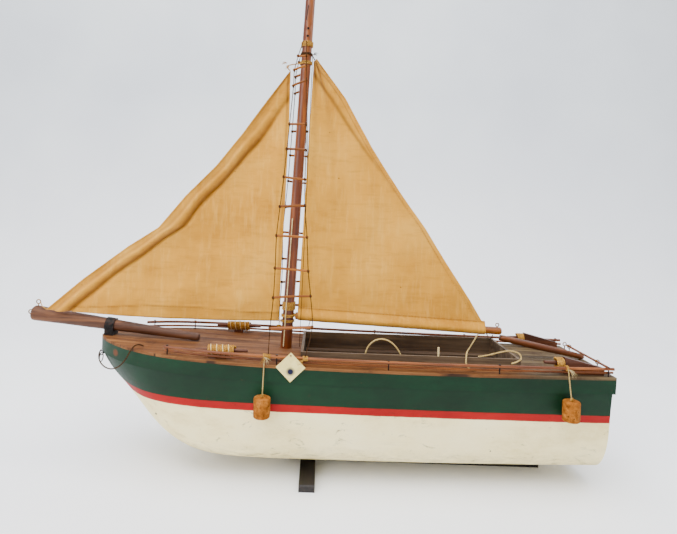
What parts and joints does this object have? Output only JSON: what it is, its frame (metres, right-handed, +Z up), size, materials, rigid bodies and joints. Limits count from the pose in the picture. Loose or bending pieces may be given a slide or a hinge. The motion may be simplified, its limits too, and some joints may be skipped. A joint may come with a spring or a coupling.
{
  "type": "model sailboat",
  "caption": "Hand-built wooden display sailboat with tan canvas sails, rope ladders, cork fenders and a plank stand",
  "frame": {"origin": "on the floor, at the middle of the underside of the foot bar", "axes": "+Z up, bow to -X, stern to +X, port to -Y"},
  "size_m": [0.896, 0.2194, 0.7802],
  "materials": {
    "hull_green": "painted dark green above and red and cream below, worn brush paint",
    "deck_wood": "bare weathered softwood",
    "mast_wood": "varnished softwood",
    "spar_wood": "dark stained round timber",
    "rail_wood": "thin dowel, oiled",
    "rung_wood": "dark twig",
    "block_wood": "dark stained wood",
    "stand_wood": "dark stained wood",
    "cockpit_wood": "dark stained wood",
    "coaming_paint": "grey weathered paint",
    "canvas": "tan cotton canvas",
    "rope_tan": "three-strand hemp cord",
    "rope_dark": "tarred cord",
    "rope_light": "stiff pale cord",
    "cork": "natural cork",
    "tag_card": "cream card with a plain dark disc",
    "iron": "dark wire and nails",
    "brass_wire": "dull brass wire"
  },
  "bodies": {
    "hull": {"hull_shell": "hull_green", "sheer_strake_port": "hull_green", "sheer_strake_starboard": "hull_green", "transom_board": "hull_green", "deck_board": "deck_wood", "cockpit_coaming": "coaming_paint", "ledge_port": "cockpit_wood", "ledge_starboard": "cockpit_wood", "cockpit_sole": "cockpit_wood", "bulkhead_fore": "cockpit_wood", "bulkhead_aft": "cockpit_wood", "coaming_peg": "rope_light", "keel_board": "stand_wood", "foot_bar": "stand_wood", "stand_screws": "brass_wire", "mast_step": "cockpit_wood", "mast": "mast_wood", "mast_hook": "iron", "nails": "iron", "bowsprit": "spar_wood", "bowsprit_bracket": "iron", "bowsprit_eyes": "brass_wire", "stem_eye": "iron", "rails_port": "rail_wood", "rails_starboard": "rail_wood", "stern_rail": "rail_wood", "stern_eyes": "brass_wire", "fore_cleats": "block_wood", "aft_cleats": "block_wood", "fore_cleat_ropes": "rope_tan", "aft_cleat_ropes": "rope_tan", "ladder_lashing": "rope_tan", "mast_foot_lashing": "rope_tan", "ladder_ropes_port": "rope_dark", "ladder_ropes_starboard": "rope_dark", "ladder_rungs_port": "rung_wood", "ladder_rungs_starboard": "rung_wood", "halyard_light": "rope_light", "halyard_dark": "rope_dark", "jib": "canvas", "jib_ties": "rope_tan", "bow_rope": "rope_dark", "mainsheet": "rope_dark", "cockpit_cord_fore": "rope_light", "cockpit_cord_middle": "rope_light", "cockpit_cord_aft": "rope_light", "tiller_screw": "brass_wire"},
    "boom_rig": {"boom": "mast_wood", "mainsail": "canvas", "boom_strop": "rope_tan", "boom_eye": "brass_wire", "main_head_tie": "rope_dark"},
    "tiller_arm": {"tiller": "block_wood"},
    "fender_fore": {"fender_cork_fore": "cork", "fender_rope_fore": "rope_tan"},
    "fender_aft": {"fender_cork_aft": "cork", "fender_rope_aft": "rope_tan"},
    "mooring_ring": {"bow_ring": "iron"},
    "hanging_tag": {"tag_board": "tag_card", "tag_string": "rope_light"}
  },
  "joints": [
    {"name": "boom_swing", "type": "hinge", "parent": "hull", "child": "boom_rig", "pos_m": [-0.03998, 0, 0.2275], "axis": [0.0358, 0, 0.9994], "range_deg": [-1, 27]},
    {"name": "tiller_swing", "type": "hinge", "parent": "hull", "child": "tiller_arm", "pos_m": [0.43, 0, 0.176], "axis": [0, 0, 1], "range_deg": [-30, 30]},
    {"name": "fender_fore_swing", "type": "hinge", "parent": "hull", "child": "fender_fore", "pos_m": [-0.066, -0.09249, 0.18763], "axis": [-1, 0, 0], "range_deg": [0, 70]},
    {"name": "fender_aft_swing", "type": "hinge", "parent": "hull", "child": "fender_aft", "pos_m": [0.368, -0.08491, 0.18301], "axis": [-1, 0, 0], "range_deg": [0, 70]},
    {"name": "ring_swing", "type": "hinge", "parent": "hull", "child": "mooring_ring", "pos_m": [-0.3375, 0, 0.157], "axis": [0, 1, 0], "range_deg": [-35, 90]},
    {"name": "tag_swing", "type": "hinge", "parent": "hull", "child": "hanging_tag", "pos_m": [-0.0284, -0.0926, 0.18667], "axis": [-1, 0, 0], "range_deg": [0, 75]}
  ]
}
